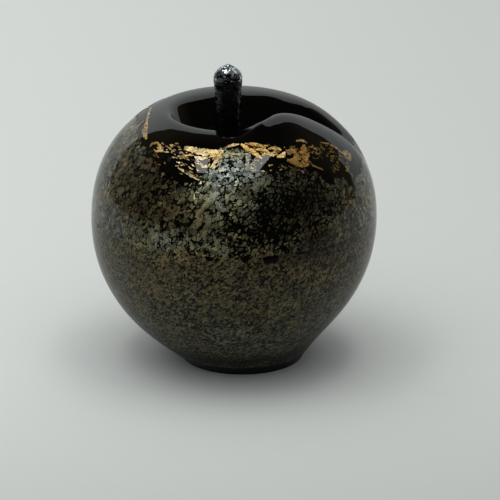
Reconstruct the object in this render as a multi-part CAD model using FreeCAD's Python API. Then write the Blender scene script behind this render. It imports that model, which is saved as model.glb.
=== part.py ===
import FreeCAD, Part
import math
import os

# Sizes in millimetres. Z is up, the foot stands on Z = 0, -Y is the front and the furrow runs out along +X.
belly_diameter = 81.8
belly_height = 42.5
crest_diameter = 41.5
crest_height = 73.4
crest_tilt = 1.6
overall_height = 88.9

foot_diameter = 35.0
foot_band_height = 0.9
foot_band_flare = 0.35
foot_offset = 2.3
punty_mark_diameter = 17.0
punty_mark_depth = 0.8

dimple_depth = 18.0
dimple_offset = -1.7
dimple_forward = -6.0
seat_diameter = 13.5

# The furrow is a valley that runs from the dimple out over the shoulder, with a swelling on its near side.
furrow_depth = 7.7
furrow_width = 9.0
furrow_end_width = 4.5
furrow_line = 2.0
furrow_start = 8.0
ridge_height = 7.5
ridge_gap = 11.8

stem_diameter = 7.4
stem_root_diameter = 11.5
stem_knob_diameter = 8.5
stem_knob_drop = 4.8
stem_neck_drop = 8.2
stem_tip_diameter = 0.4
stem_root_forward = 0.6

leaf_thickness = 0.2
leaf_course_gap = 0.4
lower_leaf_start_height = 3.0
leaf_seam_height = 44.0
upper_leaf_top_height = 67.0
leaf_tear_height = 2.4
leaf_tear_width = 5.0
leaf_tear_count = 16
gold_thickness = 0.2
gold_gap = 0.3
gold_piece_height = 4.6
gold_piece_length = 7.4
gold_piece_count = 20
gold_wander = 0.6
gold_furrow_gap = 16.0
stem_leaf_thickness = 0.15
cut_overrun = 3.0

# The smooth surfaces: control points around the axis, and their degree.
ring_points = 72
surface_degree = 3

# The outline from foot to dimple floor, as rows of control points inside which the surface runs.
# Flanks: part of the way between two radii, part of the way between two heights, then
# for the lower flank the part of the foot's offset, and
# for the upper flank the parts of the furrow's depth, the ridge's height and the crest's tilt.
lower_flank_shares = ((0.33, 0.17, -0.12), (0.67, 0.375, -0.13), (0.945, 0.66, -0.07), (1.03, 1.01, 0.0))
upper_flank_shares = (
    (0.90, 0.495, 0.0, 0.0, 0.0),
    (0.52, 0.83, 0.35, 0.23, 0.2),
    (0.075, 0.99, 0.9, 0.03, 1.0),
)

# The dimple: as the upper flank, then the part of the dimple's own offset.
# Its rings are flattened front to back.
dimple_shares = (
    (0.745, -0.06, 1.0, 0.41, 0.37, 0.16),
    (0.57, 0.265, 0.5, 1.0, 0.53, 1.0),
    (0.18, 0.42, 0.26, 0.28, 0.0, 0.87),
    (0.10, 0.92, 0.0, 0.0, 0.0, 0.93),
)
dimple_flatness_share = 0.74

# The stem's outline. Root to column: part of the root's flare, part of the way up to the neck.
# Knob: part of the way from tip radius to knob radius, part of the knob's drop below the top.
stem_root_shares = ((0.85, 0.02), (0.45, 0.06), (0.12, 0.15), (0.0, 0.33), (0.0, 0.66), (-0.02, 1.0))
stem_knob_shares = ((0.87, 1.33), (1.0, 1.0), (0.89, 0.44), (0.26, 0.1))

# Torn outline of one gold piece, as parts of its half length and half height,
# and the size of the smallest piece and of the smallest tear.
torn_shares = (
    (1.0, 0.25),
    (0.55, 0.95),
    (0.0, 0.70),
    (-0.60, 1.0),
    (-1.0, 0.10),
    (-0.45, -0.85),
    (0.35, -0.60),
)
smallest_gold_share = 0.65
smallest_tear_share = 0.5

# Steps that mix the sizes of the pieces around the ring, and the halving steps that find a height.
tear_mix = 5
gold_mix = 7
wander_turn = 2.4
halvings = 30


def blend(low, high, share):
    return low + (high - low) * share


# One ring of control points: its radius and height, the place of its centre, and what bends it.
def ring(radius, height, side=0.0, forward=0.0, flatness=1.0, furrow=0.0, ridge=0.0, tilt=0.0):
    return {
        "radius": radius, "height": height, "side": side, "forward": forward, "flatness": flatness,
        "furrow": furrow, "ridge": ridge, "tilt": tilt,
    }


# Rings of the apple, from the rim of the foot to the edge of the dimple's floor.
def body_rings():
    foot_r = foot_diameter / 2
    belly_r = belly_diameter / 2 - leaf_thickness
    crest_r = crest_diameter / 2
    seat_r = seat_diameter / 2
    floor = crest_height - dimple_depth
    rings = [ring(foot_r, 0.0, foot_offset), ring(foot_r + foot_band_flare, foot_band_height, foot_offset)]
    for out, up, offset in lower_flank_shares:
        height = blend(foot_band_height, belly_height, up)
        rings.append(ring(blend(foot_r, belly_r, out), height, foot_offset * offset))
    for out, up, furrow, ridge, tilt in upper_flank_shares:
        height = blend(belly_height, crest_height, up)
        rings.append(ring(blend(crest_r, belly_r, out), height, furrow=furrow, ridge=ridge, tilt=tilt))
    for out, down, furrow, ridge, tilt, offset in dimple_shares:
        place = dimple_offset * offset, dimple_forward * offset, dimple_flatness_share
        radius = blend(seat_r, crest_r, out)
        rings.append(ring(radius, blend(crest_height, floor, down), *place, furrow, ridge, tilt))
    rings.append(ring(seat_r, floor, dimple_offset, dimple_forward))
    return rings


# Rings of the stem, from its root on the dimple floor to its tip.
def stem_rings():
    root_r = stem_root_diameter / 2
    column_r = stem_diameter / 2
    knob_r = stem_knob_diameter / 2
    tip_r = stem_tip_diameter / 2
    floor = crest_height - dimple_depth
    neck = overall_height - stem_neck_drop
    place = dimple_offset, dimple_forward + stem_root_forward
    rings = [ring(root_r, floor, *place)]
    for flare, up in stem_root_shares:
        rings.append(ring(blend(column_r, root_r, flare), blend(floor, neck, up), *place))
    for out, down in stem_knob_shares:
        rings.append(ring(blend(tip_r, knob_r, out), overall_height - stem_knob_drop * down, *place))
    rings.append(ring(tip_r, overall_height, *place))
    return rings


# Unit direction out of an outline at one of its rings, in radius and in height.
def outward(rings, row):
    before = rings[max(row - 1, 0)]
    after = rings[min(row + 1, len(rings) - 1)]
    run = after["radius"] - before["radius"]
    rise = after["height"] - before["height"]
    length = math.hypot(run, rise)
    return rise / length, -run / length


# How far the furrow sinks a control point, less what the ridge beside it lifts.
def furrow_sink(band, x, y):
    crest_r = crest_diameter / 2
    along = max(0.0, (band["radius"] - crest_r) / (belly_diameter / 2 - crest_r))
    half = blend(furrow_width, furrow_end_width, along) / 2
    start = min(max(x / furrow_start, 0.0), 1.0)
    fade = start ** 2 * (3 - 2 * start)
    valley = furrow_depth * band["furrow"] * math.exp(-(((y - furrow_line) / half) ** 2))
    swelling = ridge_height * band["ridge"] * math.exp(-(((y - furrow_line + ridge_gap) / half) ** 2))
    return fade * (valley - swelling)


# Control points of a surface around the axis, in columns, moved out from its rings by lift.
def ring_poles(rings, lift):
    swell = 3 / (2 + math.cos(2 * math.pi / ring_points))
    poles = []
    for step in range(ring_points):
        angle = 2 * math.pi * step / ring_points
        across, ahead = swell * math.cos(angle), swell * math.sin(angle)
        column = []
        for row, band in enumerate(rings):
            out, up = outward(rings, row)
            x = band["side"] + band["radius"] * across
            y = band["forward"] + band["flatness"] * band["radius"] * ahead
            move = lift - furrow_sink(band, x, y)
            x += move * out * across
            y += move * out * ahead * band["flatness"]
            z = band["height"] + move * up + crest_tilt * band["tilt"] * math.sin(angle)
            column.append(FreeCAD.Vector(x, y, z))
        poles.append(column)
    return poles


def ring_surface(poles):
    rows = len(poles[0])
    knots_v = list(range(rows - surface_degree + 1))
    mults_v = [surface_degree + 1] + [1] * (len(knots_v) - 2) + [surface_degree + 1]
    knots_u = list(range(len(poles) + 1))
    mults_u = [1] * len(knots_u)
    degrees = surface_degree, surface_degree
    surface = Part.BSplineSurface()
    surface.buildFromPolesMultsKnots(poles, mults_u, mults_v, knots_u, knots_v, True, False, *degrees)
    return surface


# A closed solid between two flat end faces.
def ring_solid(rings, lift):
    poles = ring_poles(rings, lift)
    for column in poles:
        column[0].z = rings[0]["height"]
        column[-1].z = rings[-1]["height"]
    surface = ring_surface(poles)
    first, last = surface.bounds()[2:]
    ends = [surface.vIso(first).toShape(), surface.vIso(last).toShape()]
    shell = Part.Shell([surface.toShape()] + [Part.Face(Part.Wire([edge])) for edge in ends])
    shell.sewShape()
    solid = Part.Solid(shell)
    if solid.Volume < 0:
        solid.reverse()
    return solid


def slab(low, high):
    side = belly_diameter + 2 * cut_overrun
    return Part.makeBox(side, side, high - low, FreeCAD.Vector(-side / 2, -side / 2, low))


# Solid black glass with the dimple, the furrow, a ground flat foot and its hollow polished mark.
def make_glass_body():
    body = ring_solid(body_rings(), 0.0)
    half = punty_mark_diameter / 2
    ball_r = (half ** 2 + punty_mark_depth ** 2) / (2 * punty_mark_depth)
    ball = Part.makeSphere(ball_r, FreeCAD.Vector(foot_offset, 0, punty_mark_depth - ball_r))
    return body.cut(ball)


# A layer of even thickness over the outside of the glass, left out of the dimple.
def make_layer(body, thickness):
    dimple = Part.makeCylinder(crest_diameter / 2, crest_height + cut_overrun)
    return ring_solid(body_rings(), thickness).cut(body).cut(dimple)


# Tears that run down from the top edge of the upper course.
def leaf_tears():
    reach = belly_diameter / 2 + cut_overrun
    top = upper_leaf_top_height + cut_overrun
    tears = []
    for number in range(leaf_tear_count):
        mixed = (number * tear_mix % leaf_tear_count) / leaf_tear_count
        size = blend(smallest_tear_share, 1.0, mixed)
        half = leaf_tear_width * size / 2
        tip = upper_leaf_top_height - leaf_tear_height * size
        edge = upper_leaf_top_height
        outline = ((-half, edge), (0, tip), (half, edge), (half, top), (-half, top))
        corners = [FreeCAD.Vector(0, y, z) for y, z in outline]
        wedge = Part.Face(Part.makePolygon(corners + corners[:1])).extrude(FreeCAD.Vector(reach, 0, 0))
        turn_deg = 360 * (number + size / 2) / leaf_tear_count
        wedge.rotate(FreeCAD.Vector(0, 0, 0), FreeCAD.Vector(0, 0, 1), turn_deg)
        tears.append(wedge)
    return Part.makeCompound(tears)


# The place on the shoulder at a height, and the direction out of it, found by halving steps.
def shoulder_frame(surface, around, height):
    low, high = surface.bounds()[2:]
    belly_row = 2 + len(lower_flank_shares)
    crest_row = belly_row + len(upper_flank_shares)
    rows = len(body_rings())
    low, high = high * (belly_row - 1) / rows, high * crest_row / rows
    for halving in range(halvings):
        middle = (low + high) / 2
        if surface.value(around, middle).z < height:
            low = middle
        else:
            high = middle
    return surface.value(around, low), surface.normal(around, low)


# Torn pieces of gold leaf on the shoulder, with a gap where the furrow runs.
def make_gold_leaf(layer):
    surface = ring_surface(ring_poles(body_rings(), 0.0))
    prisms = []
    open_turn = gold_furrow_gap / crest_diameter
    for number in range(gold_piece_count):
        angle = blend(open_turn, 2 * math.pi - open_turn, (number + 1 / 2) / gold_piece_count)
        mixed = (number * gold_mix % gold_piece_count) / gold_piece_count
        size = blend(smallest_gold_share, 1.0, mixed)
        rise = gold_piece_height / 2 + gold_wander * math.sin(number * wander_turn)
        middle = upper_leaf_top_height + gold_gap + rise
        place, normal = shoulder_frame(surface, ring_points * angle / (2 * math.pi), middle)
        if normal.z < 0:
            normal = normal.negative()
        along = FreeCAD.Vector(0, 0, 1).cross(normal).normalize()
        upward = normal.cross(along)
        corners = []
        for side, rise_share in torn_shares:
            step_along = along * (gold_piece_length / 2 * size * side)
            step_up = upward * (gold_piece_height / 2 * size * rise_share)
            corners.append(place + step_along + step_up - normal * cut_overrun)
        outline = Part.Face(Part.makePolygon(corners + corners[:1]))
        prisms.append(outline.extrude(normal * (2 * cut_overrun)))
    return layer.common(Part.makeCompound(prisms))


body = make_glass_body()
silver = make_layer(body, leaf_thickness)
stem = ring_solid(stem_rings(), 0.0)
knob_slab = slab(overall_height - stem_neck_drop, overall_height + cut_overrun)
upper_slab = slab(leaf_seam_height + leaf_course_gap, upper_leaf_top_height)

parts = {
    "glass_body": body,
    "lower_silver_leaf": silver.common(slab(lower_leaf_start_height, leaf_seam_height)),
    "upper_silver_leaf": silver.common(upper_slab).cut(leaf_tears()),
    "gold_leaf": make_gold_leaf(make_layer(body, gold_thickness)),
    "stem": stem,
    "stem_leaf": ring_solid(stem_rings(), stem_leaf_thickness).common(knob_slab).cut(stem),
}

os.makedirs("parts", exist_ok=True)
for name, shape in parts.items():
    print(name, shape.isValid(), len(shape.Solids), round(shape.Volume, 2))
    shape.exportStep("parts/" + name + ".step")
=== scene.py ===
import math
import random

import bpy
import numpy as np
from mathutils import Matrix, Vector, noise
from mathutils.bvhtree import BVHTree


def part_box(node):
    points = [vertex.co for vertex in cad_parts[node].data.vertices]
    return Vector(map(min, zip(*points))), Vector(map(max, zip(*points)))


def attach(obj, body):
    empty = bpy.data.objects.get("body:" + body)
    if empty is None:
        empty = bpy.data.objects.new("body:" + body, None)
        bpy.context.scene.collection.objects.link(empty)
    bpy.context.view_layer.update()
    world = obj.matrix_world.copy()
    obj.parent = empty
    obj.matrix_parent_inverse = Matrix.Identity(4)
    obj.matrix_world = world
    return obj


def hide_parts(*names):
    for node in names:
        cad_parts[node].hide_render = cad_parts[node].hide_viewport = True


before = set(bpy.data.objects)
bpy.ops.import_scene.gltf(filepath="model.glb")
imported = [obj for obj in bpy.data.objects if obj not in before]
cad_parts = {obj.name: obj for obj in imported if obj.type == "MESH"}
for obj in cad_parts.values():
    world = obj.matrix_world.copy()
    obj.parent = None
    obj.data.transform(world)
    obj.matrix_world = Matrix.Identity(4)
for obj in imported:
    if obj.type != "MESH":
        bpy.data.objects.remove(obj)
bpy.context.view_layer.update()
mm = 0.001
sharpFrom = 50  # edges that bend by more degrees than this stay sharp
print("frame loaded,", len(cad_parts), "nodes")

# The apple stands on z = 0 with its front towards -y and its furrow towards +x. Lengths are in millimetres
# and angles in degrees unless a note says otherwise. Pixels are places in the 500 x 500 photograph.


# helpers for numbers

def mix(low, high, share):
    return low + (high - low) * share


def splineWeights(places, count):  # cubic spline with clamped ends, one row of weights for each place
    degree = 3
    knots = np.concatenate(([0.0] * degree, np.linspace(0, 1, count - degree + 1), [1.0] * degree))
    places = np.clip(np.asarray(places, float), 0, 1 - 1e-9)[:, None]
    weights = ((knots[:-1] <= places) & (places < knots[1:])).astype(float)
    for step in range(1, degree + 1):
        span = knots[step:] - knots[:-step]
        share = (places - knots[:-step]) / np.where(span > 0, span, 1)
        weights = share[:, :-1] * weights[:, :-1] + (1 - share[:, 1:]) * weights[:, 1:]
    return weights


def wobble(angle, size, seed):  # smooth noise that closes around the axis, from -1 to 1
    return noise.noise(Vector((math.cos(angle) * size, math.sin(angle) * size, seed)))


# helpers for meshes: points come in millimetres

def addMesh(name, points, faces, materials, body="root", faceMaterials=None):
    mesh = bpy.data.meshes.new(name)
    mesh.from_pydata((np.asarray(points) * mm).tolist(), [], faces)
    mesh.validate()
    mesh.polygons.foreach_set("use_smooth", [True] * len(mesh.polygons))
    mesh.set_sharp_from_angle(angle=math.radians(sharpFrom))
    for material in materials:
        mesh.materials.append(material)
    if faceMaterials:
        mesh.polygons.foreach_set("material_index", faceMaterials)
    piece = bpy.data.objects.new(name, mesh)
    bpy.context.scene.collection.objects.link(piece)
    if body:
        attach(piece, body)
    return piece


def quads(rows, columns, around=True):  # faces between rows of points
    faces = []
    for row in range(rows - 1):
        for column in range(columns if around else columns - 1):
            a, b = row * columns + column, row * columns + (column + 1) % columns
            faces.append((a, b, b + columns, a + columns))
    return faces


def turnedSolid(name, layers, materials, matteRows=()):  # rings from bottom to top, both ends closed
    rows, columns = layers.shape[:2]
    points = np.concatenate((layers.reshape(-1, 3), layers[:1].mean(1), layers[-1:].mean(1)))
    faces = quads(rows, columns)
    kinds = [int(face // columns in matteRows) for face in range(len(faces))]
    bottom, top, last = rows * columns, rows * columns + 1, (rows - 1) * columns
    for column in range(columns):
        after = (column + 1) % columns
        faces += [(after, column, bottom), (last + column, last + after, top)]
        kinds += [0, 0]
    return addMesh(name, points, faces, materials, faceMaterials=kinds)


class Sheets:  # thin closed sheets, gathered into one mesh
    def __init__(self):
        self.points = []
        self.faces = []

    def add(self, top, bottom, around=False):  # rows x columns x 3 each
        rows, columns = top.shape[:2]
        first = len(self.points)
        second = first + rows * columns
        self.points += top.reshape(-1, 3).tolist() + bottom.reshape(-1, 3).tolist()
        for face in quads(rows, columns, around):
            self.faces.append(tuple(first + corner for corner in face))
            self.faces.append(tuple(second + corner for corner in reversed(face)))
        index = np.arange(rows * columns).reshape(rows, columns)
        if around:
            edges = (index[0], index[-1, ::-1])
        else:
            edges = (np.concatenate((index[0], index[1:, -1], index[-1, -2::-1], index[-2:0:-1, 0])),)
        for edge in edges:
            for a, b in zip(edge.tolist(), np.roll(edge, -1).tolist()):
                self.faces.append((first + b, first + a, second + a, second + b))

    def mesh(self, name, materials):
        return addMesh(name, self.points, self.faces, materials)


# helpers for shaders

def principled(name, color, values):
    material = bpy.data.materials.new(name)
    material.use_nodes = True
    shader = material.node_tree.nodes["Principled BSDF"]
    for key, value in {"Base Color": (*color, 1), **values}.items():
        shader.inputs[key].default_value = value
    return material, material.node_tree, shader


def node(tree, kind, inputs=None, **settings):  # an input is a plain value or another node's output
    made = tree.nodes.new("ShaderNode" + kind)
    for key, value in settings.items():
        setattr(made, key, value)
    for key, value in (inputs or {}).items():
        if isinstance(value, bpy.types.NodeSocket):
            tree.links.new(value, made.inputs[key])
        else:
            made.inputs[key].default_value = value
    return made


def ramp(tree, source, stops):
    made = node(tree, "ValToRGB", {"Fac": source})
    elements = made.color_ramp.elements
    while len(elements) < len(stops):
        elements.new(0.5)
    for element, (place, color) in zip(elements, stops):
        element.position = place
        element.color = (*color, 1) if isinstance(color, tuple) else (color, color, color, 1)
    return made.outputs["Color"]


def math2(tree, operation, a, b=None):
    inputs = {0: a} if b is None else {0: a, 1: b}
    return node(tree, "Math", inputs, operation=operation).outputs[0]


def product(tree, first, *others):
    for other in others:
        first = math2(tree, "MULTIPLY", first, other)
    return first


def vector2(tree, operation, a, b=None):
    second = "Scale" if operation == "SCALE" else 1
    inputs = {0: a} if b is None else {0: a, second: b}
    return node(tree, "VectorMath", inputs, operation=operation).outputs[0]


def mapped(tree, source, low, high, toLow=0.0, toHigh=1.0):
    ends = {"From Min": low, "From Max": high, "To Min": toLow, "To Max": toHigh}
    return node(tree, "MapRange", {"Value": source, **ends}).outputs[0]


def blended(tree, share, a, b):  # colours, or outputs that hold them
    a, b = ((*color, 1) if isinstance(color, tuple) else color for color in (a, b))
    return node(tree, "Mix", {"Factor": share, "A": a, "B": b}, data_type="RGBA").outputs["Result"]


def noiseAt(tree, place, size, detail, **more):  # its value and its colour
    return node(tree, "TexNoise", {"Vector": place, "Scale": 1 / size, "Detail": detail, **more}).outputs[:2]


def centred(tree, color):  # a colour made into a vector around zero
    return vector2(tree, "SUBTRACT", color, (0.5, 0.5, 0.5))


def objectPlace(tree):
    return node(tree, "TexCoord").outputs["Object"]


def shiftedPlace(tree, size, amount, seed):  # object place in millimetres, plain and pushed about by noise
    moved = vector2(tree, "ADD", vector2(tree, "SCALE", objectPlace(tree), 1 / mm), (seed, -seed, seed * 0.7))
    push = centred(tree, noiseAt(tree, moved, size, 2.0)[1])
    return moved, vector2(tree, "ADD", moved, vector2(tree, "SCALE", push, amount))


# the glass: rows of control points, as in the CAD model but for the swelling's softer end

glass = {
    "bellyDiameter": 81.8,
    "leafThickness": 0.2,
    "bellyHeight": 42.5,
    "crestDiameter": 41.5,
    "crestHeight": 73.4,
    "crestTilt": 1.6,
    "footDiameter": 35,
    "footBandHeight": 0.9,
    "footBandFlare": 0.35,
    "footOffset": 2.3,
    "puntyDiameter": 17,
    "puntyDepth": 0.8,
    "puntyRings": 12,
    "puntyInnermost": 0.6,
    "groundShares": (0.03, 0.35, 0.7, 0.97),  # rings across the ground part of the foot
    "dimpleDepth": 18,
    "dimpleOffset": -1.7,
    "dimpleForward": -6,
    "dimpleFlatness": 0.74,
    "seatDiameter": 13.5,
    "seatShares": (0.8, 0.5, 0.2),  # rings across the seat of the stem
    "furrowDepth": 7.7,
    "furrowWidth": 9,
    "furrowEndWidth": 4.5,
    "furrowLine": 2,
    "furrowStart": 8,
    "ridgeHeight": 7.5,
    "ridgeGap": 11.8,
    "ridgeSpread": 1.35,  # the swelling's width against the furrow's
    "lowerFlank": ((0.33, 0.17, -0.12), (0.67, 0.375, -0.13), (0.945, 0.66, -0.07), (1.03, 1.01, 0.0)),
    "upperFlank": ((0.90, 0.495, 0, 0, 0), (0.52, 0.83, 0.35, 0.08, 0.2), (0.075, 0.99, 0.86, 0.09, 1.0)),
    "dimple": ((0.745, -0.06, 1.0, 0.41, 0.37, 0.16), (0.57, 0.265, 0.5, 1.0, 0.53, 1.0),
               (0.18, 0.42, 0.26, 0.28, 0, 0.87), (0.10, 0.92, 0, 0, 0, 0.93)),
    "flankShare": 0.64,  # share of the way up the outline that lies outside the crest
    "flankSamples": 160,
    "columns": 336,
    "rows": 230,
}


def glassRings():  # radius, height, side, forward, flatness, furrow, ridge, tilt, out, up
    g = glass
    foot, crest, seat = g["footDiameter"] / 2, g["crestDiameter"] / 2, g["seatDiameter"] / 2
    belly = g["bellyDiameter"] / 2 - g["leafThickness"]
    floor = g["crestHeight"] - g["dimpleDepth"]
    rings = [[foot, 0, g["footOffset"], 0, 1, 0, 0, 0],
             [foot + g["footBandFlare"], g["footBandHeight"], g["footOffset"], 0, 1, 0, 0, 0]]
    for out, up, offset in g["lowerFlank"]:
        height = mix(g["footBandHeight"], g["bellyHeight"], up)
        rings.append([mix(foot, belly, out), height, g["footOffset"] * offset, 0, 1, 0, 0, 0])
    for out, up, furrow, ridge, tilt in g["upperFlank"]:
        height = mix(g["bellyHeight"], g["crestHeight"], up)
        rings.append([mix(crest, belly, out), height, 0, 0, 1, furrow, ridge, tilt])
    for out, down, furrow, ridge, tilt, offset in g["dimple"]:
        place = [g["dimpleOffset"] * offset, g["dimpleForward"] * offset, g["dimpleFlatness"]]
        rings.append([mix(seat, crest, out), mix(g["crestHeight"], floor, down), *place, furrow, ridge, tilt])
    rings.append([seat, floor, g["dimpleOffset"], g["dimpleForward"], 1, 0, 0, 0])
    rings = np.array(rings, float)
    run, rise = np.gradient(rings[:, :2], axis=0).T
    length = np.hypot(run, rise)
    return np.column_stack((rings, rise / length, -run / length))


rings = glassRings()


def glassNet(angles, lift):  # control points for each angle in radians, moved out by lift
    g = glass
    radius, height, side, forward, flatness, furrow, ridge, tilt, out, up = rings.T
    cosine, sine = np.cos(angles)[:, None], np.sin(angles)[:, None]
    x = side + radius * cosine
    y = forward + flatness * radius * sine
    crest = g["crestDiameter"] / 2
    along = np.maximum(0, (radius - crest) / (g["bellyDiameter"] / 2 - crest))
    half = mix(g["furrowWidth"], g["furrowEndWidth"], along) / 2
    start = np.clip(x / g["furrowStart"], 0, 1)
    valley = g["furrowDepth"] * furrow * np.exp(-((y - g["furrowLine"]) / half) ** 2)
    fromRidge = (y - g["furrowLine"] + g["ridgeGap"]) / (half * g["ridgeSpread"])
    swelling = g["ridgeHeight"] * ridge * np.exp(-fromRidge ** 2)
    move = lift - start ** 2 * (3 - 2 * start) * (valley - swelling)
    x = x + move * out * cosine
    y = y + move * out * sine * flatness
    z = height + move * up + g["crestTilt"] * tilt * sine
    return np.stack((x, y, z), axis=2)


def onGlass(angles, along, lift=0.0):  # a place for each pair of angle and share of the way up the outline
    angles, along = np.broadcast_arrays(angles, along)
    net = glassNet(angles.ravel(), lift)
    weights = splineWeights(along.ravel(), len(rings))
    return np.einsum("nr,nrk->nk", weights, net).reshape(angles.shape + (3,))


def aroundAngles(columns):
    return np.arange(columns) * 2 * math.pi / columns


def glassLayers():
    g = glass
    angles = aroundAngles(g["columns"])
    weights = splineWeights(np.linspace(0, 1, g["rows"]), len(rings))
    outside = np.einsum("tr,nrk->tnk", weights, glassNet(angles, 0.0))
    foot, punty = g["footDiameter"] / 2, g["puntyDiameter"] / 2
    ball = (punty ** 2 + g["puntyDepth"] ** 2) / (2 * g["puntyDepth"])
    under = [(radius, g["puntyDepth"] - ball + math.sqrt(ball ** 2 - radius ** 2))
             for radius in np.linspace(g["puntyInnermost"], punty, g["puntyRings"])]
    under += [(mix(punty, foot, share), 0.0) for share in g["groundShares"]]
    circle = np.column_stack((np.cos(angles), np.sin(angles), 0 * angles))
    centre = np.array((g["footOffset"], 0, 0))
    below = [centre + circle * radius + (0, 0, height) for radius, height in under]
    seat = np.array((g["dimpleOffset"], g["dimpleForward"], g["crestHeight"] - g["dimpleDepth"]))
    above = [seat + circle * g["seatDiameter"] / 2 * share for share in g["seatShares"]]
    ground = range(len(below) - len(g["groundShares"]) - 1, len(below))  # rows of faces on the foot's ring
    return np.concatenate((below, outside, above)), ground


# camera: it looks along +y and down, from where the photograph was taken

view = {
    "distance": 1200,
    "elevation": 20,
    "targetHeight": 37,
    "targetPixel": (234.1, 231.5),
    "pixelSize": 0.2856,  # at the target
    "imagePixels": 500,
}

down = math.radians(view["elevation"])
ahead = Vector((0, math.cos(down), -math.sin(down)))
eye = Vector((0, 0, view["targetHeight"])) - ahead * view["distance"]


def makeCamera():
    camera = bpy.data.cameras.new("camera")
    holder = bpy.data.objects.new("camera", camera)
    bpy.context.scene.collection.objects.link(holder)
    holder.location = eye * mm
    holder.rotation_euler = (math.pi / 2 - down, 0, 0)
    width = view["imagePixels"] * view["pixelSize"]
    camera.lens = camera.sensor_width * view["distance"] / width
    camera.shift_x = 0.5 - view["targetPixel"][0] / view["imagePixels"]
    camera.shift_y = view["targetPixel"][1] / view["imagePixels"] - 0.5
    bpy.context.scene.camera = holder
    bpy.context.scene.view_settings.view_transform = "Standard"


def pixelRay(x, y):  # from the camera through a pixel of the photograph
    upward = Vector((0, math.sin(down), math.cos(down)))
    across = (x - view["targetPixel"][0]) * view["pixelSize"]
    above = (view["targetPixel"][1] - y) * view["pixelSize"]
    return eye, (ahead * view["distance"] + Vector((across, 0, 0)) + upward * above).normalized()


makeCamera()
print("camera placed")


# stage: pale paper under and behind the apple, a dark room around it, three windows overhead

stage = {
    "paperColor": (0.637, 0.668, 0.655),
    "paperRoughness": 0.9,
    "paperGrain": {"Scale": 900.0, "Detail": 3.0},
    "paperGrainShows": 0.01,
    "paperPaintedShade": (0.87, 0.82),  # painted shade: share of the paper's colour left at the right and at the front edge of the view
    "paperPaintedShadeAcross": (-75, 85),  # over these stretches
    "paperPaintedShadeAhead": (-115, -15),
    "paperInGloss": (0.41, 0.43, 0.42),
    "paperAloft": (0.85, 0.895, 0.875),  # the backdrop's upper part, in the gloss
    # its brightness there, by the share of the way from the paper's front edge to this far behind the apple
    "paperGlossFades": ((0.0, 0.16), (0.42, 0.50), (1.0, 1.06)),
    "paperGlossEnd": 120,
    "aloftFrom": 0.5,  # sine of the height from which it is brightest
    "skyLow": 0.06,
    "skyHigh": 1.74,
    "skyBend": 2.2,  # how late the light rises from the horizon to overhead
    "skyFromLeft": 0.5,  # share that the light gains at the left and loses at the right
    "floorSide": 3000,
    "paperFront": 160,  # the paper's front edge, this far before the apple
    "beyondPaperReach": 1.2,  # share of the room's radius
    "beyondPaperLift": 0.5,  # just over the paper, so that the gloss sees it
    # edge of the paper in the gloss: turn from straight back, towards +x, and height in degrees
    "opening": ((-57, -20), (-54, 0), (-46, 15), (-36, 30), (-31, 36), (-28, 41), (-22, 46), (-14, 49),
                (-3, 48), (2, 55), (12, 60), (22, 61), (30, 58), (34, 50), (37, 43), (44, 38), (50, 34),
                (54, 30), (57, 26), (60, 24), (62, 22), (62.5, -20)),
    "roomLowest": -6,
    "roomTurns": 360,
    "roomTiers": 40,
    "roomRadius": 1000,
    "roomHeight": 65,
    "roomColor": (0.022, 0.020, 0.016),
    "ceilingColor": (0.095, 0.080, 0.052),  # seen just over the paper
    "ceilingHeights": (0.78, 0.93),  # where it fades out, as shares of the room's radius
    "ceilingDepth": 0.35,
    # windows: where the middle lies from the apple, the way its long side runs, and its two sides
    "windows": (((-0.292, -0.032, 0.914), (0.113, 0.532, 0.056), (118, 540)),
                ((0.211, -0.013, 0.950), (0.03, 0.54, 0.02), (125, 510)),
                ((0.110, 0.06, 0.955), (-0.05, 0.58, -0.02), (34, 560))),
    "windowLight": 4.3,
    "windowColor": (1.0, 0.99, 0.93),
    "windowReach": 0.97,  # share of the room's radius
}


def paperShader():  # painted shade darkens it a little towards the front and the right, and it looks dimmer in the gloss
    values = {"Roughness": stage["paperRoughness"], "Specular IOR Level": 0.0}
    material, tree, shader = principled("paper", stage["paperColor"], values)
    place = node(tree, "SeparateXYZ", {"Vector": objectPlace(tree)})
    right, front = stage["paperPaintedShade"]
    # painted shade: the paper's colour falls off towards the right and the front
    aside = mapped(tree, place.outputs["X"], *(x * mm for x in stage["paperPaintedShadeAcross"]), 1.0, right)
    ahead = mapped(tree, place.outputs["Y"], *(y * mm for y in stage["paperPaintedShadeAhead"]), front, 1.0)
    grain = node(tree, "TexNoise", stage["paperGrain"]).outputs["Fac"]
    shows = stage["paperGrainShows"]
    light = product(tree, aside, ahead, mapped(tree, grain, 0, 1, 1 - shows, 1 + shows))
    depth = mapped(tree, place.outputs["Y"], -stage["paperFront"] * mm, stage["paperGlossEnd"] * mm)
    gloss = vector2(tree, "SCALE", stage["paperInGloss"], ramp(tree, depth, stage["paperGlossFades"]))
    glossy = node(tree, "LightPath").outputs["Is Glossy Ray"]
    whole = vector2(tree, "SCALE", blended(tree, glossy, stage["paperColor"], gloss), light)
    tree.links.new(whole, shader.inputs["Base Color"])
    return material


def roomShader():  # dark, with a brownish ceiling just over the paper
    material = bpy.data.materials.new("darkRoom")
    material.use_nodes = True
    tree = material.node_tree
    tree.nodes.clear()
    radius = stage["roomRadius"] * mm
    place = node(tree, "SeparateXYZ", {"Vector": objectPlace(tree)})
    low = mapped(tree, place.outputs["Z"], *(radius * share for share in stage["ceilingHeights"]), 1, 0)
    back = mapped(tree, place.outputs["Y"], 0.0, radius * stage["ceilingDepth"])
    color = blended(tree, product(tree, low, back), stage["roomColor"], stage["ceilingColor"])
    glow = node(tree, "Emission", {"Strength": 1.0, "Color": color})
    node(tree, "OutputMaterial", {"Surface": glow.outputs[0]})
    return material


def onlyReflected(piece):  # seen in the gloss, and nowhere else
    for rays in ("camera", "diffuse", "shadow", "transmission"):
        setattr(piece, "visible_" + rays, False)


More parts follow.
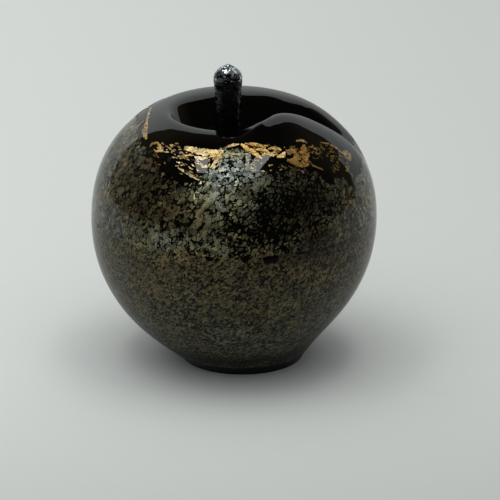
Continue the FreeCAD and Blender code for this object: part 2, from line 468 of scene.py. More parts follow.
def flatSheet(name, side, front, height, material):  # it ends at y = front
    corners = [(-side, -side, height), (side, -side, height), (side, front, height), (-side, front, height)]
    return addMesh(name, corners, [(0, 1, 2, 3)], [material], body=None)


def makeStage():
    side, reach = stage["floorSide"], stage["roomRadius"] * stage["beyondPaperReach"]
    flatSheet("floor", side, side, 0, paperShader())
    dark = roomShader()
    onlyReflected(flatSheet("floorBeyondPaper", reach, -stage["paperFront"], stage["beyondPaperLift"], dark))

    turns, tiers, radius = stage["roomTurns"], stage["roomTiers"], stage["roomRadius"]
    edge = np.array(stage["opening"], float)
    away = (np.arange(turns) * 360 / turns + 180) % 360 - 180
    inside = (edge[0, 0] < away) & (away < edge[-1, 0])
    start = np.where(inside, np.interp(away, *edge.T), stage["roomLowest"])
    azimuth, rise = np.radians(away), np.radians(mix(start, 90, np.linspace(0, 1, tiers + 1)[:, None]))
    flat, height = radius * np.cos(rise), stage["roomHeight"] + radius * np.sin(rise)
    points = np.stack((flat * np.sin(azimuth), flat * np.cos(azimuth), height), axis=2).reshape(-1, 3)
    onlyReflected(addMesh("darkRoom", points, quads(tiers + 1, turns), [dark], body=None))


unlitByWindows = bpy.data.collections.new("unlitByWindows")


def makeWorld():  # in the gloss it is the backdrop, and for the rest a soft light from overhead
    world = bpy.data.worlds.new("world")
    bpy.context.scene.world = world
    world.use_nodes = True
    tree = world.node_tree
    towards = node(tree, "SeparateXYZ", {"Vector": node(tree, "TexCoord").outputs["Generated"]})
    height = towards.outputs["Z"]
    aloft = mapped(tree, height, 0.0, stage["aloftFrom"])
    gloss = blended(tree, aloft, stage["paperInGloss"], stage["paperAloft"])
    aside = mapped(tree, towards.outputs["X"], -1, 1, 1 + stage["skyFromLeft"], 1 - stage["skyFromLeft"])
    rise = math2(tree, "POWER", math2(tree, "MAXIMUM", height, 0.0), stage["skyBend"])
    sky = product(tree, aside, mapped(tree, rise, 0, 1, stage["skyLow"], stage["skyHigh"]))
    tint = blended(tree, node(tree, "LightPath").outputs["Is Diffuse Ray"], gloss, sky)
    tree.links.new(tint, tree.nodes["Background"].inputs["Color"])


def makeWindows():
    for number, (middle, along, sides) in enumerate(stage["windows"]):
        lamp = bpy.data.lights.new(f"window{number}", "AREA")
        lamp.shape = "RECTANGLE"
        lamp.size, lamp.size_y = (side * mm for side in sides)
        lamp.energy = stage["windowLight"] * math.pi * lamp.size * lamp.size_y
        lamp.color = stage["windowColor"]
        holder = bpy.data.objects.new(lamp.name, lamp)
        away = Vector(middle).normalized()
        across = Vector(along).cross(away).normalized()
        upright = away.cross(across)
        holder.matrix_world = Matrix((across, upright, away)).transposed().to_4x4()
        reach = stage["roomRadius"] * stage["windowReach"]
        holder.location = (Vector((0, 0, stage["roomHeight"])) + away * reach) * mm
        holder.visible_camera = False
        bpy.context.scene.collection.objects.link(holder)
        holder.light_linking.receiver_collection = unlitByWindows


makeStage()
makeWorld()
makeWindows()
print("stage built")


# finishes: each is one shader, with a colour and a bump from nodes

finish = {
    "gloss": {"IOR": 1.45, "Coat IOR": 1.45, "Coat Roughness": 0.02},
    "blackGlass": (0.0014, 0.0013, 0.0012),
    # tints of the silver: brown, grey-green and cool grey, where its paint says 0, a half and 1
    "silverTints": ((0.52, 0.41, 0.19), (0.46, 0.45, 0.27), (0.41, 0.47, 0.43)),
    "goldTints": ((0.50, 0.26, 0.06), (0.90, 0.56, 0.17), (1.0, 0.80, 0.43)),
    "stemTints": ((0.16, 0.26, 0.42), (0.42, 0.50, 0.58), (0.80, 0.84, 0.84)),
}

# kinds of glass, in millimetres. push: size, reach and seed of the noise that bends the pattern; pattern:
# size, detail and roughness of its noise; folds: size and detail, then the bump's strength and height
glassKinds = {
    "black": {"color": finish["blackGlass"], "roughness": 0.015, "push": (9.0, 3.0, 3.0),
              "pattern": (3.0, 4.0, 0.5), "folds": (11.0, 1.0, 0.25, 0.02),
              "tones": ((0.3, (0.0007, 0.00065, 0.0006)), (0.75, finish["blackGlass"]))},
    "ground": {"color": (0.05, 0.05, 0.048), "roughness": 0.5, "push": (1.0, 0.4, 5.0),
               "pattern": (0.15, 4.0, 0.5), "folds": (0.15, 4.0, 0.5, 0.05),
               "tones": ((0.3, (0.02, 0.02, 0.019)), (0.7, (0.09, 0.09, 0.085)))},
    "stem": {"color": finish["blackGlass"], "roughness": 0.03, "push": (1.6, 1.2, 91.0),
             "pattern": (0.8, 5.0, 0.6), "folds": (1.5, 3.0, 0.8, 0.35),
             "tones": ((0.56, finish["blackGlass"]), (0.63, (0.004, 0.007, 0.011)),
                       (0.74, (0.024, 0.034, 0.048)))},
}

# kinds of leaf, in millimetres: plates drawn out by "stretch" along a slant. Cracks, bare places, tears and
# lines are as wide as these shares of a plate, and cracks keep the share "whole" where no leaf is gone
leafKinds = {
    "upper": {"plate": 1.15, "stretch": 1.5, "slant": 38.0, "crooked": 1.0, "patch": 7.0,
              "crack": 0.12, "whole": 0.8, "bareWidth": 1.0, "torn": 0.14, "line": 0.013,
              "rim": 1.3, "uneven": 0.54, "fine": 0.50, "lean": 0.7, "roughness": 0.34, "metal": 0.55},
    "lower": {"plate": 0.75, "stretch": 1.7, "slant": 50.0, "crooked": 1.1, "patch": 6.0,
              "crack": 0.125, "whole": 1.0, "bareWidth": 0.6, "torn": 0.18, "line": 0.012,
              "rim": 1.15, "uneven": 0.46, "fine": 0.55, "lean": 0.5, "roughness": 0.42, "metal": 0.55},
    "gold": {"plate": 1.2, "stretch": 1.5, "slant": 75.0, "crooked": 1.3, "patch": 5.0,
             "crack": 0.05, "whole": 0.35, "bareWidth": 0.5, "torn": 0.16, "line": 0.014,
             "rim": 1.2, "uneven": 0.35, "fine": 0.3, "lean": 0.5, "roughness": 0.40, "metal": 0.4},
    "stem": {"plate": 1.3, "stretch": 1.0, "slant": 0.0, "crooked": 1.4, "patch": 3.0,
             "crack": 0.12, "whole": 1.0, "bareWidth": 0.5, "torn": 0.3, "line": 0.03,
             "rim": 1.0, "uneven": 0.6, "fine": 0.6, "lean": 0.5, "roughness": 0.10, "metal": 0.9},
}

crackle = {  # what all kinds of leaf share: sizes count in plates
    "pushSize": 0.8,
    "grainSize": 0.5,
    "grainRoughness": 0.65,
    "gapeSize": 1.3,
    "lineSize": 2.6,
    "lineBend": 0.5,
    "span": (0.35, 0.65),  # stretches of a noise's value that are used
    "middleSpan": (0.3, 0.7),
    "wideSpan": (0.25, 0.75),
    "gapes": (-0.35, 1.45),  # a crack's width where it closes and where it gapes
    "patches": (-0.25, 0.30),  # what worn patches add to it
    "goneWide": 0.16,  # share of leaf gone at which cracks have all their width
    "solid": (-0.02, 0.05),  # how sharp a crack's edge is
    "lineCore": 0.35,
    "rimWide": 0.28,
    "plateMiddle": 0.92,
    "tintDrift": 0.35,
    "roughness": (0.7, 1.2),
}


def glassShader(name, kind):
    values = {"Roughness": kind["roughness"], **finish["gloss"]}
    material, tree, shader = principled(name, kind["color"], values)
    pushed = shiftedPlace(tree, *kind["push"])[1]
    size, detail, rough = kind["pattern"]
    pattern = noiseAt(tree, pushed, size, detail, Roughness=rough)[0]
    tree.links.new(ramp(tree, pattern, kind["tones"]), shader.inputs["Base Color"])
    size, detail, strength, depth = kind["folds"]
    folds = noiseAt(tree, pushed, size, detail)[0]
    bump = node(tree, "Bump", {"Strength": strength, "Distance": depth * mm, "Height": folds})
    tree.links.new(bump.outputs[0], shader.inputs["Normal"])
    return material


def leafShader(name, leaf, tints, seed):
    # broken leaf under clear gloss, with black glass in its cracks; the paint on the mesh says how whole
    # it is, how bright, and which tint it has; on the silver its brightness also holds painted highlights and
    # painted shade
    plate, crack, c = leaf["plate"], leaf["crack"], crackle
    values = {"Roughness": leaf["roughness"], "Metallic": leaf["metal"], "Specular IOR Level": 0.0}
    material, tree, shader = principled(name, tints[1], {**values, "Coat Weight": 1.0, **finish["gloss"]})
    plain, pushed = shiftedPlace(tree, plate * c["pushSize"], plate * leaf["crooked"], seed)
    turned = {"Rotation": (0, math.radians(leaf["slant"]), 0), "Scale": (1, 1, leaf["stretch"])}
    pushed = node(tree, "Mapping", {"Vector": pushed, **turned}, vector_type="TEXTURE").outputs[0]
    sized = {"Vector": pushed, "Scale": 1 / plate, "Randomness": 1.0}
    edges = node(tree, "TexVoronoi", sized, feature="DISTANCE_TO_EDGE").outputs["Distance"]
    cells = node(tree, "TexVoronoi", sized).outputs["Color"]
    patches, patchColor = noiseAt(tree, plain, leaf["patch"], 3.0)
    grain, grainColor = noiseAt(tree, pushed, plate * c["grainSize"], 4.0, Roughness=c["grainRoughness"])
    paint = node(tree, "VertexColor", layer_name="paint").outputs["Color"]
    whole, bright, tint = node(tree, "SeparateColor", {"Color": paint}).outputs[:3]
    each = node(tree, "SeparateColor", {"Color": cells}).outputs["Red"]

    # where leaf is left, between cracks, bare places and fine lines
    gone = math2(tree, "SUBTRACT", 1.0, whole)
    bare = product(tree, gone, gone, leaf["bareWidth"])
    comes = noiseAt(tree, pushed, plate * c["gapeSize"], 2.0)[0]
    gapes = mapped(tree, comes, *c["span"], *(crack * share for share in c["gapes"]))
    gapes = product(tree, gapes, mapped(tree, gone, 0.0, c["goneWide"], leaf["whole"], 1.0))
    worn = mapped(tree, patches, *c["span"], *(crack * share for share in c["patches"]))
    width = math2(tree, "ADD", math2(tree, "ADD", gapes, bare), worn)
    ragged = product(tree, math2(tree, "SUBTRACT", grain, 0.5), leaf["torn"])
    solid = mapped(tree, math2(tree, "SUBTRACT", math2(tree, "ADD", edges, ragged), width), *c["solid"])
    lines = noiseAt(tree, pushed, plate * c["lineSize"], 1.5, Distortion=c["lineBend"])[0]
    beside = math2(tree, "ABSOLUTE", math2(tree, "SUBTRACT", lines, 0.5))
    solid = product(tree, solid, mapped(tree, beside, leaf["line"] * c["lineCore"], leaf["line"]))

    # how bright each plate is, and its tint; the paint's brightness brings in the silver's painted highlights
    # and painted shade
    light = product(tree, mapped(tree, each, 0, 1, 1 - leaf["uneven"], 1 + leaf["uneven"]),
                    mapped(tree, grain, *c["wideSpan"], 1 - leaf["fine"], 1 + leaf["fine"]),
                    mapped(tree, edges, crack, crack + c["rimWide"], leaf["rim"], c["plateMiddle"]), bright)
    drift = mapped(tree, patchColor, *c["middleSpan"], -c["tintDrift"], c["tintDrift"])
    hue = ramp(tree, math2(tree, "ADD", tint, drift), list(zip((0.0, 0.5, 1.0), tints)))
    color = blended(tree, solid, finish["blackGlass"], vector2(tree, "SCALE", hue, light))
    tree.links.new(color, shader.inputs["Base Color"])
    rough = mapped(tree, grain, *c["middleSpan"], *(leaf["roughness"] * share for share in c["roughness"]))
    tree.links.new(rough, shader.inputs["Roughness"])

    both = vector2(tree, "ADD", centred(tree, cells), centred(tree, grainColor))
    normal = node(tree, "NewGeometry").outputs["Normal"]
    facing = vector2(tree, "ADD", normal, vector2(tree, "SCALE", both, leaf["lean"]))
    tree.links.new(vector2(tree, "NORMALIZE", facing), shader.inputs["Normal"])
    return material


blackGlass = glassShader("blackGlass", glassKinds["black"])
groundGlass = glassShader("groundGlass", glassKinds["ground"])
stemGlass = glassShader("stemGlass", glassKinds["stem"])
upperLeaf = leafShader("crackledSilver", leafKinds["upper"], finish["silverTints"], 11.0)
lowerLeaf = leafShader("fineSilver", leafKinds["lower"], finish["silverTints"], 31.0)
tornGold = leafShader("tornGold", leafKinds["gold"], finish["goldTints"], 51.0)
stemSilver = leafShader("stemSilver", leafKinds["stem"], finish["stemTints"], 71.0)
print("finishes made")


def paintMesh(piece, colors):  # how whole, how bright, which tint: one triple for each vertex
    layer = piece.data.color_attributes.new("paint", "FLOAT_COLOR", "POINT")
    colors = np.clip(np.array(colors, float), 0, 1)
    layer.data.foreach_set("color", np.column_stack((colors, np.ones(len(colors)))).ravel())


# glass body

layers, groundRows = glassLayers()
glassBody = turnedSolid("glassBody", layers, [blackGlass, groundGlass], groundRows)
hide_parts("glass_body")
glassTree = BVHTree.FromPolygons([tuple(v.co) for v in glassBody.data.vertices],
                                 [tuple(p.vertices) for p in glassBody.data.polygons])
unlitByWindows.objects.link(glassBody)  # so that its hollow stays as dark as in the photograph
unlitByWindows.collection_objects[0].light_linking.link_state = "EXCLUDE"
print("glass body made,", len(glassBody.data.polygons), "faces")


def hit(origin, direction):  # the place on the glass that a ray in millimetres meets, and its normal
    place, normal = glassTree.ray_cast(Vector(origin) * mm, direction)[:2]
    return None if place is None else (place / mm, normal)


# silver leaf: two courses of thin sheet that follow the glass, with ragged edges

silver = {
    "lift": 0.06,
    "sunk": 0.03,
    "columns": 600,
    # paint: how whole the leaf is, how bright, and its tint
    "lower": {"rows": 44, "paint": (0.90, 0.238, 0.13)},
    "upper": {"rows": 36, "paint": (0.84, 0.29, 0.32)},
    # tears along the edges: height, how close together, and seed
    "footTears": ((0.4, 5, 1.0), (0.2, 23, 2.0)),
    "seamTears": ((0.27, 6, 3.0), (0.45, 30, 4.0), (0.36, 90, 5.0)),
    "topTears": ((0.7, 9, 7.0), (0.9, 31, 8.0), (0.7, 80, 9.0)),
    "seamRaise": 0.1,
    "seamGap": 0.02,
    # the upper course's top edge: pixels where the front shows it, azimuth and height round the back
    "topFront": ((140, 145), (150, 150), (163, 151), (176, 151), (190, 152), (204, 152), (214, 151),
                 (224, 149), (236, 149), (248, 150), (258, 152), (268, 154), (276, 160), (284, 165),
                 (294, 168), (308, 170), (318, 172), (324, 180), (330, 186), (336, 180), (344, 179),
                 (350, 186)),
    "topBack": ((0, 61), (30, 65), (90, 67.5), (170, 69.5), (185, 70.5), (352, 60)),
    # places where the seam gapes: azimuth, half width and how far down the lower course is torn
    "nicks": ((260.3, 1.8, 1.2), (274.4, 1.6, 1.6), (284.5, 3.2, 2.2), (297.4, 2.4, 0.8), (246, 0.9, 0.9),
              (20, 3.0, 1.6), (75, 2.2, 1.2), (120, 3.6, 1.8), (160, 1.8, 1.4), (200, 2.0, 0.8)),
    "nickSteep": 1.6,
    # how the three parts of paint drift: size, place in the noise, and reach
    "drifts": ((9, (0, 0, 0), 0.15), (6, (7, 3, 5), 0.25), (8, (1, 9, 2), 0.25)),
    # zones: pixel of the middle, half width and height, and what they add to the three parts of paint; the
    # brightness they add is painted highlight and painted shade
    # painted highlight down the middle of the front, painted shade at the upper left, on the right and by the
    # foot
    "gapsTintsAndPaintedLight": (
        ((160, 154), (4.5, 1.8), -1, 0, 0), ((171, 157), (4.5, 3.2), -1, 0, 0),
        ((182, 163), (4.2, 4.6), -1, 0, 0), ((192, 170), (3.2, 4.6), -1, 0, 0),
        ((203, 160), (3.4, 3.4), -1, 0, 0), ((270, 163), (3.5, 2.4), -1, 0, 0),
        ((262, 157), (3.5, 1.6), -0.8, 0, 0), ((217, 175), (9, 6), 0.1, 0.45, 0.55),
        ((236, 160), (8, 6), 0.1, 0.45, 0.25), ((258, 172), (6, 5), 0, 0, 0.2),
        ((206, 201), (4.5, 9), 0.05, 0.34, 0.15), ((226, 222), (7, 9), 0, 0.16, 0.05),
        ((240, 195), (7, 7), 0, 0.1, 0.1), ((165, 243), (15, 4.5), 0.1, 0.3, 0.25),
        ((116, 225), (7, 16), 0, 0.01, 0.2), ((148, 188), (15, 12), 0.08, -0.16, -0.4),
        ((268, 233), (8, 6), -0.3, -0.12, 0), ((300, 190), (16, 9), -0.04, -0.14, 0),
        ((325, 215), (10, 9), 0, -0.08, -0.15), ((285, 205), (10, 8), -0.06, -0.06, 0),
        ((240, 252), (14, 3), 0.05, 0.1, 0), ((320, 246), (14, 4), 0.05, -0.15, 0.05),
        ((150, 285), (16, 8), 0.05, 0.08, 0), ((235, 275), (40, 5), 0.05, 0.04, -0.18),
        ((235, 345), (40, 9), 0, 0.08, 0.35), ((235, 362), (40, 2.4), 0, -0.22, 0),
    ),
}


def alongAtHeight(angles, heights):  # share of the way up the outer flank that reaches a height
    samples = np.linspace(0.0, glass["flankShare"], glass["flankSamples"])
    z = np.einsum("tr,nr->nt", splineWeights(samples, len(rings)), glassNet(angles, 0.0)[:, :, 2])
    z = np.maximum.accumulate(z, axis=1)
    return np.array([np.interp(height, row, samples) for height, row in zip(heights, z)])


def paintLeaf(piece, whole, light, tint):
    places = np.array([vertex.co[:] for vertex in piece.data.vertices]) / mm
    colors = np.tile((whole, light, tint), (len(places), 1)).astype(float)
    # the zones cut gaps, shift tints, and paint highlights and shade into the brightness
    for pixel, (wide, high), *change in silver["gapsTintsAndPaintedLight"]:
        away = places - np.array(hit(*pixelRay(*pixel))[0])
        weight = np.exp(-(np.hypot(away[:, 0], away[:, 1]) / wide) ** 2 - (away[:, 2] / high) ** 2)
        colors += weight[:, None] * np.array(change)
    for part, (size, shift, reach) in enumerate(silver["drifts"]):
        drift = [noise.fractal(Vector(place) / size + Vector(shift), 1.0, 2.0, 3) for place in places]
        colors[:, part] += np.array(drift) * reach * (1, light, 1)[part]
    paintMesh(piece, colors)


def leafCourse(name, low, high, course, shader):  # edges: a height for each angle
    angles = aroundAngles(silver["columns"])
    low, high = alongAtHeight(angles, low), alongAtHeight(angles, high)
    along = mix(low, high, np.linspace(0, 1, course["rows"])[:, None])
    sheets = Sheets()
    sheets.add(onGlass(angles, along, silver["lift"]), onGlass(angles, along, -silver["sunk"]), around=True)
    piece = sheets.mesh(name, [shader])
    paintLeaf(piece, *course["paint"])
    return piece


def strayed(angles, tears):  # how far an edge strays up or down at each angle
    return sum(height * np.array([wobble(angle, size, seed) for angle in angles])
               for height, size, seed in tears)


def makeSilver():
    angles = aroundAngles(silver["columns"])
    degrees = np.degrees(angles)
    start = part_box("lower_silver_leaf")[0].z / mm
    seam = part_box("lower_silver_leaf")[1].z / mm
    lowEdge = start + strayed(angles, silver["footTears"])
    seamHigh = seam + silver["seamRaise"] + strayed(angles, silver["seamTears"])
    seamLow = seamHigh - silver["seamGap"]
    for azimuth, half, depth in silver["nicks"]:
        away = np.abs((degrees - azimuth + 180) % 360 - 180) / half
        seamLow -= depth * np.clip(silver["nickSteep"] * (1 - away ** 4), 0, 1)
    front = [hit(*pixelRay(*pixel))[0] for pixel in silver["topFront"]]
    stations = [(math.degrees(math.atan2(place.y, place.x)) % 360, place.z) for place in front]
    stations = np.array(sorted(stations + list(silver["topBack"])))
    topEdge = np.interp(degrees, stations[:, 0], stations[:, 1], period=360)
    topEdge += strayed(angles, silver["topTears"])
    piece = leafCourse("lowerSilverLeaf", lowEdge, seamLow, silver["lower"], lowerLeaf)
    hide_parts("lower_silver_leaf")
    piece = leafCourse("upperSilverLeaf", seamHigh, topEdge, silver["upper"], upperLeaf)
    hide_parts("upper_silver_leaf")


makeSilver()
print("silver leaf laid")


# gold leaf: torn ribbons and crumbs on the shoulder

gold = {
    "seed": 12,
    "lift": 0.12,
    "lifts": (0.8, 1.25),  # shares of it that the scraps have
    "sunk": 0.04,
    "across": 4,
    "fewest": 4,  # stations along a ribbon
    "step": 1.1,  # between them, in pixels
    "smoothings": 6,
    "ragged": 0.35,  # stray of the sides, as a share of half the width
    "ends": (0.04, 0.96),
    "endBlunt": 0.45,
    "endWidth": 0.15,
    "longest": 2.5,  # a ribbon with a longer face is left out
    # ribbons: pixels along the middle line, width in pixels, brightness and tint
    "ribbons": (
        (((151.5, 108), (149, 113), (147.5, 120), (146.5, 127)), 2.4, 0.45, 0.6),
        (((147, 122), (145.8, 128), (145, 134), (146.5, 140)), 5.0, 0.5, 0.55),
        (((144.5, 121), (141, 124), (138, 127.5)), 1.3, 0.35, 0.5),
        (((150, 147), (153, 143.5), (157, 143), (160.5, 146), (160, 150.5), (156.5, 152), (154, 149.5)),
         2.4, 0.55, 0.5),
        (((158, 147), (161, 150), (163, 152)), 4.2, 0.6, 0.45),
        (((184.5, 147.5), (190, 149), (196, 151.3), (203, 152.8), (210, 152.6), (217, 152.2), (223.5, 152)),
         6.6, 1.0, 0.85),
        (((184, 149.5), (190, 150.2), (199, 152.5)), 2.6, 0.95, 0.6),
        (((182, 156), (188, 155.6), (194, 155.6)), 1.6, 0.9, 0.8),
        (((196, 157), (202, 159), (206, 157)), 3.2, 0.9, 0.9),
        (((200, 163), (203, 167), (207, 166)), 3.6, 1.0, 0.95),
        (((209, 157), (215, 156), (222, 155)), 3.0, 0.9, 0.8),
        (((211, 168), (214, 164), (217, 159), (222, 157)), 3.0, 0.9, 0.9),
        (((178, 168), (184, 171.5), (190, 175), (199, 180.5)), 2.6, 0.9, 0.95),
        (((225, 147.5), (231, 146), (239, 144.5)), 2.6, 0.9, 0.8),
        (((241, 144.5), (248, 149), (256, 154.5), (262, 158.5)), 4.6, 0.95, 0.65),
        (((245, 143.5), (254, 144.5), (262, 146.5), (268, 146)), 3.0, 0.8, 0.55),
        (((256, 150), (262, 149.5), (268, 152)), 3.0, 0.9, 0.6),
        (((262, 155), (268, 153), (274, 156.5)), 3.4, 0.9, 0.6),
        (((268, 149), (274, 148), (279, 150)), 2.6, 0.8, 0.5),
        (((277, 157), (282, 156), (285, 152)), 4.4, 0.9, 0.55),
        (((286, 152), (291, 150), (296, 153), (295, 159), (289, 160)), 3.4, 0.45, 0.35),
        (((287, 160), (294, 162), (300, 165), (308, 165.5)), 5.6, 0.4, 0.15),
        (((303.5, 145), (304, 152), (305, 160), (307, 166)), 8.0, 0.58, 0.15),
        (((303, 151), (299, 157), (294, 161.5)), 6.5, 0.45, 0.12),
        (((296, 141.5), (301, 140.5), (307, 143)), 2.4, 0.35, 0.4),
        (((308, 147), (313, 147.5), (316.5, 150), (316, 154)), 1.4, 0.35, 0.35),
        (((309, 161), (313, 166), (319, 168), (324, 170.5)), 1.6, 0.35, 0.3),
        (((320, 142.5), (328, 144), (336, 148), (343, 155)), 1.6, 0.3, 0.45),
        (((343, 151), (347, 155), (350, 161)), 6.0, 0.35, 0.6),
        (((345, 166), (350, 172), (353, 179)), 2.0, 0.22, 0.4),
    ),
    # crumbs: pixel of the middle, half width and height, how many, length, slope, brightness and tint
    "crumbs": (
        ((170, 147), (12, 3.5), 16, 2.7, 0.15, 0.55, 0.6),
        ((177, 154), (13, 4.5), 26, 2.8, 0.12, 0.85, 0.75),
        ((187, 161), (12, 5), 26, 2.7, 0.35, 0.88, 0.85), ((157, 159), (8, 6), 14, 2.4, 0.9, 0.3, 0.3),
        ((214, 163), (8, 6), 20, 3.4, -1.2, 0.8, 0.8), ((190, 172), (9, 5), 14, 2.8, 0.7, 0.5, 0.7),
        ((226, 153), (8, 4), 12, 2.4, -0.4, 0.55, 0.7), ((266, 150), (14, 5), 44, 3.2, 0.5, 0.7, 0.55),
        ((258, 166), (9, 7), 20, 2.4, 0.3, 0.7, 0.9), ((275, 168), (8, 3), 9, 2.2, 0.2, 0.5, 0.7),
        ((290, 152), (8, 7), 24, 2.8, 0.8, 0.32, 0.3), ((325, 152), (12, 7), 40, 2.6, 0.5, 0.2, 0.3),
        ((340, 163), (9, 9), 46, 2.6, 1.0, 0.2, 0.4), ((312, 152), (5, 6), 10, 2.2, 0.6, 0.22, 0.3),
    ),
    # how they vary: turn in radians, shares of length and brightness, tint, and widths in pixels
    "crumb": {"stations": 5, "turn": 0.3, "length": (0.4, 1.4), "bright": (0.5, 1.5), "tint": (-0.2, 0.2),
              "width": (0.7, 1.5)},
    # round the back, in millimetres: the two powers make most scraps short and narrow
    "band": {"count": 210, "azimuth": (48, 158), "height": (67.5, 71.0), "length": (0.7, 5.0),
             "width": (0.3, 1.1), "shortPower": 2.5, "narrowPower": 1.5, "widening": 4, "turn": 0.5,
             "bend": 0.17, "step": 0.4, "bright": (0.25, 0.9), "tint": (0.2, 0.9)},
    "probe": (0.01, 0.004, 3),  # steps to the side and up the outline, and height over the glass
}


def ribbonLine(points, step):  # a smooth line through given points, in even steps
    points = np.array(points, float)
    spans = np.concatenate(([0], np.cumsum(np.hypot(*np.diff(points, axis=0).T))))
    count = max(gold["fewest"], int(spans[-1] / step) + 1)
    fine = np.linspace(0, spans[-1], count * 4)
    line = np.column_stack([np.interp(fine, spans, points[:, i]) for i in (0, 1)])
    for smoothing in range(gold["smoothings"]):
        line[1:-1] = (line[:-2] + 2 * line[1:-1] + line[2:]) / 4
    return line[np.linspace(0, len(line) - 1, count).astype(int)]


class GoldSheets(Sheets):
    def __init__(self):
        super().__init__()
        self.randomly = random.Random(gold["seed"])
        self.colors = []

    def ribbon(self, line, width, toRay, light, tint):  # torn, and left out if it misses the glass
        ahead = np.gradient(line, axis=0)
        ahead /= np.maximum(np.hypot(*ahead.T), 1e-6)[:, None]
        aside = np.column_stack((-ahead[:, 1], ahead[:, 0]))
        along = np.linspace(0, 1, len(line))
        swell = np.sin(math.pi * np.clip(along, *gold["ends"])) ** gold["endBlunt"]
        torn = np.array([[self.randomly.uniform(-1, 1) for place in along] for side in (0, 1)])
        left, right = width / 2 * np.clip(swell, gold["endWidth"], 1) * (1 + gold["ragged"] * torn)
        left, right = line + aside * left[:, None], line - aside * right[:, None]
        across = np.linspace(0, 1, gold["across"])
        grid = [[hit(*toRay(*mix(a, b, share))) for share in across] for a, b in zip(left, right)]
        lift = gold["lift"] * self.randomly.uniform(*gold["lifts"])
        if any(found is None for row in grid for found in row):
            return
        top = np.array([[tuple(place + normal * lift) for place, normal in row] for row in grid])
        bottom = np.array([[tuple(place - normal * gold["sunk"]) for place, normal in row] for row in grid])
        if all(np.linalg.norm(np.diff(top, axis=axis), axis=2).max() < gold["longest"] for axis in (0, 1)):
            self.add(top, bottom)
            self.colors += [(1.0, light, tint)] * (len(self.points) - len(self.colors))


def bandRay(angle, along):  # a local sheet of paper on the shoulder: millimetres to rays into the glass
    aside, upward, over = gold["probe"]
    pairs = ((angle, along), (angle + aside, along), (angle, along + upward))
    place, beside, above = (Vector(onGlass(turn, share)) for turn, share in pairs)
    right = (beside - place).normalized()
    up = (above - place).normalized()
    normal = right.cross(up).normalized()
    return lambda x, y: (place + right * x + up * y + normal * over, -normal)


def makeGold():
    sheets = GoldSheets()
    randomly = sheets.randomly
    for points, width, light, tint in gold["ribbons"]:
        sheets.ribbon(ribbonLine(points, gold["step"]), width, pixelRay, light, tint)
    crumb = gold["crumb"]
    for centre, spread, count, length, slope, light, tint in gold["crumbs"]:
        for scrap in range(count):
            middle = np.array([centre[i] + spread[i] * randomly.uniform(-1, 1) for i in (0, 1)])
            turn = math.atan(slope) + randomly.gauss(0, crumb["turn"])
            reach = length / 2 * randomly.uniform(*crumb["length"])
            reach = np.array((math.cos(turn), math.sin(turn))) * reach
            line = np.linspace(middle - reach, middle + reach, crumb["stations"])
            bright = light * randomly.uniform(*crumb["bright"])
            width = randomly.uniform(*crumb["width"])
            sheets.ribbon(line, width, pixelRay, bright, tint + randomly.uniform(*crumb["tint"]))
    band = gold["band"]
    for scrap in range(band["count"]):
        angle = math.radians(randomly.uniform(*band["azimuth"]))
        height = mix(*band["height"], randomly.random())
        toRay = bandRay(angle, alongAtHeight([angle], [height])[0])
        length = mix(*band["length"], randomly.random() ** band["shortPower"])
        turn = randomly.gauss(0, band["turn"])
        bend = randomly.uniform(-band["bend"], band["bend"]) * length
        cosine, sine = math.cos(turn), math.sin(turn)
        points = [(x * cosine - y * sine, x * sine + y * cosine)
                  for x, y in ((-length / 2, 0), (0, bend), (length / 2, 0))]
        width = mix(*band["width"], randomly.random() ** band["narrowPower"])
        width *= 1 + length / band["widening"]
        bright, tint = randomly.uniform(*band["bright"]), randomly.uniform(*band["tint"])
        sheets.ribbon(ribbonLine(points, band["step"]), width, toRay, bright, tint)
    piece = sheets.mesh("goldLeaf", [tornGold])
    paintMesh(piece, sheets.colors)
    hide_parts("gold_leaf")


makeGold()
print("gold leaf laid")


# stem: a drawn glass stalk with a rounded knob, and dark leaf crinkled over the knob

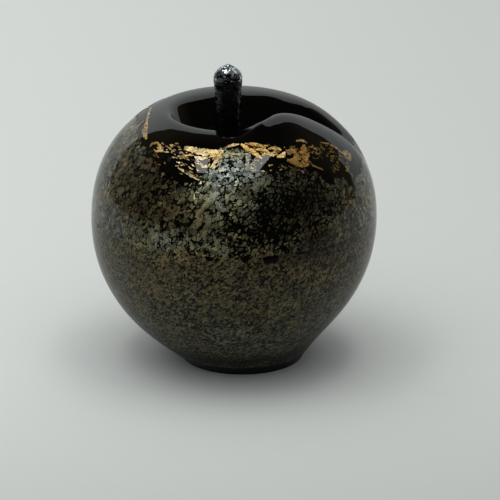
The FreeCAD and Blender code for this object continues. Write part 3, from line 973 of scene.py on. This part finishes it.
stalk = {
    "diameter": 7.4,
    "rootDiameter": 11.5,
    "knobDiameter": 8.5,
    "knobDrop": 4.8,
    "neckDrop": 8.2,
    "tipDiameter": 0.4,
    "rootForward": 0.6,
    "root": ((0.85, 0.02), (0.45, 0.06), (0.12, 0.15), (0.0, 0.33), (0.0, 0.66), (-0.02, 1.0)),
    "knob": ((0.87, 1.33), (1.0, 1.0), (0.89, 0.44), (0.26, 0.1)),
    "lumps": ((3.2, 0.16), (1.1, 0.07)),  # sizes and heights
    "smoothAxis": 2,  # lumps are lower within this radius
    "smoothRoot": 6,  # and within this height over the root
    "columns": 132,
    "rows": 190,
    "leafLift": 0.06,
    "leafSunk": 0.02,
    "leafFrom": 0.80,  # shares of the way up the outline
    "leafTo": 0.995,
    "leafRows": 60,
    "leafPaint": (0.80, 1.0, 0.6),
}


def stalkLayers(lift, low, high, rows):  # rings of the stalk between two shares of the way up
    s = stalk
    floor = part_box("stem")[0].z / mm
    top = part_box("stem")[1].z / mm
    root, column = s["rootDiameter"] / 2, s["diameter"] / 2
    knob, tip = s["knobDiameter"] / 2, s["tipDiameter"] / 2
    neck = top - s["neckDrop"]
    outline = [(root, floor)]
    outline += [(mix(column, root, flare), mix(floor, neck, up)) for flare, up in s["root"]]
    outline += [(mix(tip, knob, out), top - s["knobDrop"] * down) for out, down in s["knob"]]
    outline.append((tip, top))
    line = splineWeights(np.linspace(low, high, rows), len(outline)) @ np.array(outline)
    x0 = glass["dimpleOffset"]
    y0 = glass["dimpleForward"] + s["rootForward"]
    layers = []
    for radius, height in line:
        ring = []
        for angle in aroundAngles(s["columns"]):
            place = Vector((math.cos(angle) * radius, math.sin(angle) * radius, height))
            lump = sum(depth * noise.noise(place / size) for size, depth in s["lumps"])
            smooth = min(1, radius / s["smoothAxis"]) * min(1, (height - floor) / s["smoothRoot"])
            reach = radius + lift + lump * smooth
            ring.append((x0 + reach * math.cos(angle), y0 + reach * math.sin(angle), height))
        layers.append(ring)
    return np.array(layers)


def makeStem():
    stem = turnedSolid("stem", stalkLayers(0.0, 0.0, 1.0, stalk["rows"]), [stemGlass])
    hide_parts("stem")
    part = (stalk["leafFrom"], stalk["leafTo"], stalk["leafRows"])
    sheets = Sheets()
    sheets.add(stalkLayers(stalk["leafLift"], *part), stalkLayers(-stalk["leafSunk"], *part), around=True)
    leaf = sheets.mesh("stemLeaf", [stemSilver])
    paintMesh(leaf, [stalk["leafPaint"]] * len(leaf.data.vertices))
    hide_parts("stem_leaf")


makeStem()
print("stem made")
